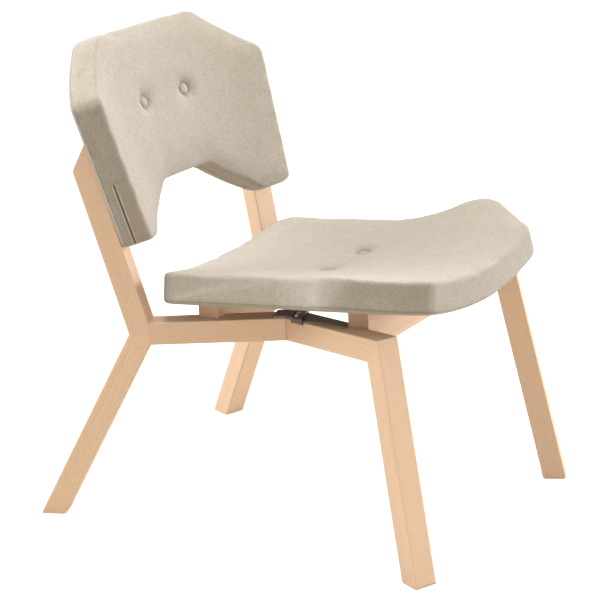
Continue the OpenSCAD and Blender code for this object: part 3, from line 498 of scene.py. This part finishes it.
def pad_block(cushion, sink):
    """The cushion cut flat: outline, thickness and soft edges, with its top sunk a little."""
    bm = cut_panel(cushion.cut)
    made = bmesh.ops.extrude_face_region(bm, geom=bm.faces[:])
    low = [v for v in made["geom"] if isinstance(v, bmesh.types.BMVert)]
    bmesh.ops.translate(bm, verts=low, vec=(0, 0, -cushion.thick))
    top = [v for v in bm.verts if v.co.z > -EDGE]
    bmesh.ops.translate(bm, verts=top, vec=(0, 0, -sink))
    bmesh.ops.recalc_face_normals(bm, faces=bm.faces[:])
    for level, soft in ((-sink, EDGE), (-cushion.thick, cushion.rear_edge)):
        rim = [e for e in bm.edges if e.calc_face_angle(0) > 1.2
               and all(abs(v.co.z - level) < 1e-6 for v in e.verts)]
        bmesh.ops.bevel(bm, geom=rim, offset=soft, offset_type="OFFSET", affect="EDGES", segments=5,
                        profile=0.5, material=-1)
    bmesh.ops.recalc_face_normals(bm, faces=bm.faces[:])
    return bm


def as_object(name, bm):
    """Turns a finished bmesh into an object of the scene."""
    mesh = bpy.data.meshes.new(name)
    bm.to_mesh(mesh)
    bm.free()
    made = bpy.data.objects.new(name, mesh)
    bpy.context.scene.collection.objects.link(made)
    return made


def take_shape(piece):
    """Puts the modifiers' result into the mesh and drops the modifiers."""
    bpy.context.view_layer.update()
    shown = piece.evaluated_get(bpy.context.evaluated_depsgraph_get())
    mesh = bpy.data.meshes.new_from_object(shown)
    piece.modifiers.clear()
    old, piece.data = piece.data, mesh
    bpy.data.meshes.remove(old)


def remesh(piece, voxel):
    """Gives the piece an even mesh of the voxel's size, for the cloth to work on."""
    made = piece.modifiers.new("even mesh", "REMESH")
    made.mode = "VOXEL"
    made.voxel_size = voxel
    take_shape(piece)


def near_tufts(point):
    """Way to a place on the cloth from the nearer of the two tufts."""
    side = math.copysign(PITCH / 2, point.x)
    return Vector((point.x - side, point.y))


# Depth and reach of the dimple round a button
DENT_DEPTH, DENT_REACH = 0.0095, 0.021 / 1.3


def dent(point):
    """Depth of the dimple that a button's thread pulls in."""
    return DENT_DEPTH * math.exp(-(near_tufts(point).length / DENT_REACH) ** 2)


# The swelling cover: frames that it runs, and the rim of a tuft that the thread holds
SWELL_FRAMES = 20
HELD_TUFT = 0.008


def swell(piece, thick, most_top, most_side):
    """Lets the cover swell like stuffed cloth, held at its underside and its tufts."""
    held = piece.vertex_groups.new(name="held")
    for v in piece.data.vertices:
        in_tuft = v.co.z > -0.02 and near_tufts(v.co).length < HELD_TUFT
        if in_tuft or v.co.z < -thick + EDGE * 0.4:
            held.add([v.index], 1.0, "REPLACE")
    start = [v.co.copy() for v in piece.data.vertices]
    scene = bpy.context.scene
    cloth = piece.modifiers.new("cover", "CLOTH")
    cloth.settings.quality = 4
    cloth.settings.mass = 0.25
    cloth.settings.tension_stiffness = cloth.settings.compression_stiffness = 14
    cloth.settings.shear_stiffness = 6
    cloth.settings.bending_stiffness = 0.6
    cloth.settings.use_pressure = True
    cloth.settings.uniform_pressure_force = 4
    cloth.settings.vertex_group_mass = "held"
    cloth.settings.effector_weights.gravity = 0
    cloth.point_cache.frame_start, cloth.point_cache.frame_end = 1, SWELL_FRAMES
    scene.frame_start, scene.frame_end = 1, SWELL_FRAMES
    for step in range(1, SWELL_FRAMES + 1):
        scene.frame_set(step)
    take_shape(piece)
    for v, was in zip(piece.data.vertices, start):
        move = v.co - was
        most = most_top if was.z > -EDGE else most_side
        if move.length > most:
            move *= most / move.length
        v.co = was + move
    piece.vertex_groups.clear()
    scene.frame_set(1)


def draw_taut(piece, passes):
    """Pulls the creases out of the top, between its edge and its tufts."""
    bm = bmesh.new()
    bm.from_mesh(piece.data)
    bm.normal_update()
    top = [v for v in bm.verts if v.co.z > -2 * EDGE and v.normal.z > 0.8]
    for v in top:
        v.co.z += dent(v.co)
    for turn in range(passes):
        bmesh.ops.smooth_vert(bm, verts=top, factor=0.5, use_axis_z=True)
    for v in top:
        v.co.z -= dent(v.co)
    bm.to_mesh(piece.data)
    bm.free()


# Where the underside lies on the cut cloth, beside the top
UNDERSIDE_SHIFT = 1.3


def lay_cloth_map(bm):
    """Maps the cloth as it was cut: the top as it lies, its sides folded out, the underside apart."""
    cut = bm.loops.layers.uv.new("cut cloth")
    bm.normal_update()
    for face in bm.faces:
        below = face.normal.z < -0.7
        for loop in face.loops:
            v = loop.vert
            out = Vector((v.normal.x, v.normal.y))
            fold = min(1.0, out.length * 1.3) * -v.co.z if not below else 0
            out = out.normalized() if out.length > 1e-6 else out
            spot = Vector((v.co.x, v.co.y)) + out * fold
            loop[cut].uv = (spot.x + (UNDERSIDE_SHIFT if below else 0), spot.y)


def groove(bm, depth, wide, sink, chosen, mark="in the seam"):
    """A sewn line round the cushion's side at one depth, where the chosen function allows it."""
    inside = bm.verts.layers.float.get(mark) or bm.verts.layers.float.new(mark)
    for level in (-2, -1, 0, 1, 2):
        bmesh.ops.bisect_plane(bm, geom=bm.verts[:] + bm.edges[:] + bm.faces[:], dist=1e-6,
                               plane_co=(0, 0, -depth + level * wide / 2), plane_no=(0, 0, 1))
    bm.normal_update()
    moves = []
    for v in bm.verts:
        near = 1 - min(1, abs(v.co.z + depth) / (wide * 1.01))
        share = near * chosen(v.co)
        out = Vector((v.normal.x, v.normal.y, 0))
        if share > 0 and out.length > 0.5:
            moves.append((v, out.normalized() * sink * share, share))
    # The sunk line takes its mark: painted shade in a seam and the slit, lighter cloth on a hem
    for v, move, share in moves:
        v.co -= move
        v[inside] = max(v[inside], share)


def cross_seam(bm, y, wide, sink, nearest, low, high, dark):
    """A short faint seam across the cushion's outer sides, between two depths."""
    inside = bm.verts.layers.float["in the seam"]
    for level in (-1, 0, 1):
        bmesh.ops.bisect_plane(bm, geom=bm.verts[:] + bm.edges[:] + bm.faces[:], dist=1e-6,
                               plane_co=(0, y + level * wide, 0), plane_no=(0, 1, 0))
    bm.normal_update()
    for v in bm.verts:
        if abs(v.co.x) < nearest or abs(v.normal.x) < 0.6 or not -high < v.co.z < -low:
            continue
        share = 1 - min(1, abs(v.co.y - y) / (wide * 1.01))
        v.co.x -= math.copysign(sink * share, v.co.x)
        # Paints shade along the sunk cross seam
        v[inside] = max(v[inside], dark * share)


def mark_flap(bm, y, nearest, depth):
    """Marks the cloth of the closure's flap, between its two seams and the cushion's front."""
    flap = bm.verts.layers.float.new("on the flap")
    for v in bm.verts:
        if abs(v.co.x) > nearest and abs(v.normal.x) > 0.6 and v.co.y < y and -depth < v.co.z < -0.004:
            v[flap] = 1


def soft_step(value, low, high):
    """Rises smoothly from 0 at the low value to 1 at the high one."""
    share = min(1, max(0, (value - low) / (high - low)))
    return share * share * (3 - 2 * share)


# The painted shade in the fold round a button: how dark it is, its radius and its width
FOLD_PAINTED_SHADE, FOLD_RADIUS, FOLD_WIDTH = 0.42, 0.0105, 0.0035


def pucker(bm, amount, uneven, seed):
    """Small gathers round the tufts, painted shade in their folds, and faint unevenness of the cover."""
    inside = bm.verts.layers.float.new("in the seam")
    for v in bm.verts:
        if v.co.z < -0.03:
            continue
        spoke = near_tufts(v.co)
        far = spoke.length
        angle = math.atan2(spoke.y, spoke.x)
        gather = math.cos(5 * angle + 1.3 * seed) + 0.5 * math.cos(8 * angle + seed)
        fade = math.exp(-(far / 0.020) ** 2) * soft_step(far, 0.006, 0.012)
        wave = noise.noise(Vector((v.co.x * 9, v.co.y * 14, seed)))
        v.co.z += amount * gather * fade + uneven * wave
        # Paints shade in a ring round each button, where the dimple's fold lies
        v[inside] = FOLD_PAINTED_SHADE * math.exp(-((far - FOLD_RADIUS) / FOLD_WIDTH) ** 2)


# How far the cover is sunk before it swells, how far past that its top may rise, and its sides
SINK = 0.0015
TOP_RISE, SIDE_RISE = 0.0008, 0.0012
TAUT_PASSES = 40


def make_cushion(name, cushion, voxel, sew):
    """A stuffed and sewn cushion: cut, swollen, drawn taut, sewn, and set on its dish."""
    piece = as_object(name, pad_block(cushion, SINK))
    remesh(piece, voxel)
    for v in piece.data.vertices:
        if v.co.z > -2 * EDGE:
            v.co.z -= dent(v.co)
    swell(piece, cushion.thick, SINK + TOP_RISE, SIDE_RISE)
    draw_taut(piece, TAUT_PASSES)
    smooth = piece.modifiers.new("smooth", "SUBSURF")
    smooth.levels = smooth.render_levels = 1
    take_shape(piece)
    bm = bmesh.new()
    bm.from_mesh(piece.data)
    sew(bm, cushion)
    lay_cloth_map(bm)
    for v in bm.verts:
        v.co = set_form(v.co, cushion)
    for face in bm.faces:
        face.smooth = True
    bmesh.ops.recalc_face_normals(bm, faces=bm.faces[:])
    bm.to_mesh(piece.data)
    bm.free()
    paint(piece, WOOL)
    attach(piece, "root")
    return piece


# The closure in the back's sides: its slit's depth, its top end, its hems' offset, and how far
# from the middle the sides lie
SLIT_DEPTH, SLIT_TOP, HEM_OFFSET, SIDES_FROM = 0.033, -0.105, 0.0026, 0.19


def all_round(spot):
    """A sewn line whose painted shade is half as strong as a slit's, the whole way round."""
    return 0.5


def below_slit_top(spot):
    """Lets a sewn line run only below the slit's top end."""
    return soft_step(SLIT_TOP - spot.y, 0.001, 0.005)


def sew_seat(bm, cushion):
    """Gathers, and the line that joins the cover to its underside."""
    pucker(bm, 0.0007, 0.0005, 2)
    groove(bm, cushion.thick - 0.005, 0.0010, 0.0010, all_round)


def sew_back(bm, cushion):
    """Gathers, the rear line, and the closure with its hems, cross seam and flap."""
    pucker(bm, 0.0009, 0.0006, 5)
    groove(bm, cushion.thick - 0.007, 0.0010, 0.0011, all_round)
    for side in (-1, 1):
        groove(bm, SLIT_DEPTH + side * HEM_OFFSET, 0.0012, -0.0007, below_slit_top, "on the hem")
    groove(bm, SLIT_DEPTH, 0.0015, 0.0030, below_slit_top)
    cross_seam(bm, SLIT_TOP, 0.0016, 0.0004, SIDES_FROM, 0.004, SLIT_DEPTH + 0.001, 0.1)
    mark_flap(bm, SLIT_TOP, SIDES_FROM, SLIT_DEPTH)


seat_cushion = make_cushion("seat_cushion", SEAT, 0.005, sew_seat)
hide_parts("seat_top_pad", "seat_bottom_pad")
back_cushion = make_cushion("back_cushion", BACK, 0.0045, sew_back)
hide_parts("back_front_pad", "back_rear_pad")


# Half a covered button, cut through its middle: way out and height, in metres
BUTTON_PROFILE = [(0.0, 0.0044), (0.0035, 0.0042), (0.0066, 0.0035), (0.0086, 0.0025), (0.0097, 0.0013),
                  (0.0100, 0.0), (0.0094, -0.0014), (0.0078, -0.0022), (0.0, -0.0024)]
GATHERS = 11


def turned_button():
    """A cloth-covered button: a domed top, a rolled edge and gathers towards the underside."""
    bm = bmesh.new()
    line = [bm.verts.new((x, 0, z)) for x, z in BUTTON_PROFILE]
    edges = [bm.edges.new(pair) for pair in zip(line, line[1:])]
    bmesh.ops.spin(bm, geom=line + edges, cent=(0, 0, 0), axis=(0, 0, 1), angle=math.tau, steps=48,
                   use_merge=True)
    bmesh.ops.remove_doubles(bm, verts=bm.verts[:], dist=1e-6)
    for v in bm.verts:
        flat = Vector((v.co.x, v.co.y))
        share = soft_step(flat.length, 0.006, 0.010)
        grow = 1 + 0.018 * share * math.cos(GATHERS * math.atan2(flat.y, flat.x))
        v.co.x *= grow
        v.co.y *= grow
    bmesh.ops.recalc_face_normals(bm, faces=bm.faces[:])
    return bm


def covered_buttons(name, cushion, sunk, node_name):
    """The two buttons of a cushion, each sunk in its dimple and turned with the cloth."""
    whole = bmesh.new()
    for side in (-1, 1):
        bm = turned_button()
        spot = Vector((side * PITCH / 2, 0, -sunk))
        slope = cushion.form(spot.x, 0)[1]
        turn = Matrix.Rotation(-math.atan(slope), 4, "Y")
        middle = set_form(spot, cushion)
        place = Matrix.Translation(middle) @ cushion.place.to_quaternion().to_matrix().to_4x4() @ turn
        bmesh.ops.transform(bm, verts=bm.verts[:], matrix=place)
        one = bpy.data.meshes.new("one button")
        bm.to_mesh(one)
        bm.free()
        whole.from_mesh(one)
        bpy.data.meshes.remove(one)
    for face in whole.faces:
        face.smooth = True
    made = as_object(name, whole)
    paint(made, BUTTON_WOOL)
    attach(made, "root")
    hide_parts(node_name)


covered_buttons("seat_button_pair", SEAT, 0.0096, "seat_buttons")
covered_buttons("back_button_pair", BACK, 0.0085, "back_buttons")


# ---- Floor and light
WHITE = (1, 1, 1, 1)
# Light that the studio's walls send onto the chair; the camera sees them and the floor white
AMBIENT = 0.62
FLOOR_GLOW = 0.75
COOL, WARM = (0.96, 1, 1.08), (1, 0.97, 0.93)
# Where the lights point, in metres
CHAIR_MIDDLE = Vector((0, 0, 0.4))


def pale_floor():
    """A plain floor that throws little light up but looks white to the camera."""
    bm = bmesh.new()
    bmesh.ops.create_grid(bm, x_segments=1, y_segments=1, size=30)
    floor = as_object("floor", bm)
    material, tree, shader = finish("pale floor", 0.9, Specular_IOR_Level=0.1)
    place = node(tree, "TexCoord").outputs["Object"]
    haze = node(tree, "TexNoise", {"Vector": place, "Scale": 3.0, "Detail": 2.0}).outputs["Fac"]
    colour = blend_colours(tree, haze, (0.49, 0.44, 0.36, 1), (0.51, 0.46, 0.38, 1))
    tree.links.new(colour, shader["Base Color"])
    seen = node(tree, "LightPath").outputs["Is Camera Ray"]
    tree.links.new(maths(tree, "MULTIPLY", seen, FLOOR_GLOW), shader["Emission Strength"])
    shader["Emission Color"].default_value = WHITE
    paint(floor, material)


def pale_studio():
    """Even light from all round, white where the camera looks past the chair."""
    world = bpy.data.worlds.new("studio")
    world.use_nodes = True
    sky = world.node_tree.nodes["Background"].inputs
    sky["Color"].default_value = WHITE
    seen = node(world.node_tree, "LightPath").outputs["Is Camera Ray"]
    world.node_tree.links.new(spread(world.node_tree, seen, 0.0, 1.0, AMBIENT, 1.0), sky["Strength"])
    bpy.context.scene.world = world


def soft_light(name, where, size, watts, colour=WHITE[:3]):
    """A round softbox, turned to the middle of the chair; its size is in metres."""
    light = bpy.data.lights.new(name, "AREA")
    light.shape = "DISK"
    light.size = size
    light.energy = watts
    light.color = colour
    lamp = bpy.data.objects.new(name, light)
    lamp.location = where
    lamp.rotation_euler = (CHAIR_MIDDLE - Vector(where)).to_track_quat("-Z", "Y").to_euler()
    bpy.context.scene.collection.objects.link(lamp)


pale_floor()
pale_studio()
soft_light("left softbox", (-1.05, 2.5, 1.75), 1.6, 75, COOL)
soft_light("right softbox", (2.4, -2.0, 0.95), 1.6, 126, COOL)
soft_light("overhead", (0.2, 0.3, 3.2), 1.8, 104)
soft_light("fill", (-2.8, -2.0, 0.8), 2.0, 37, WARM)
bpy.context.scene.view_settings.view_transform = "Standard"
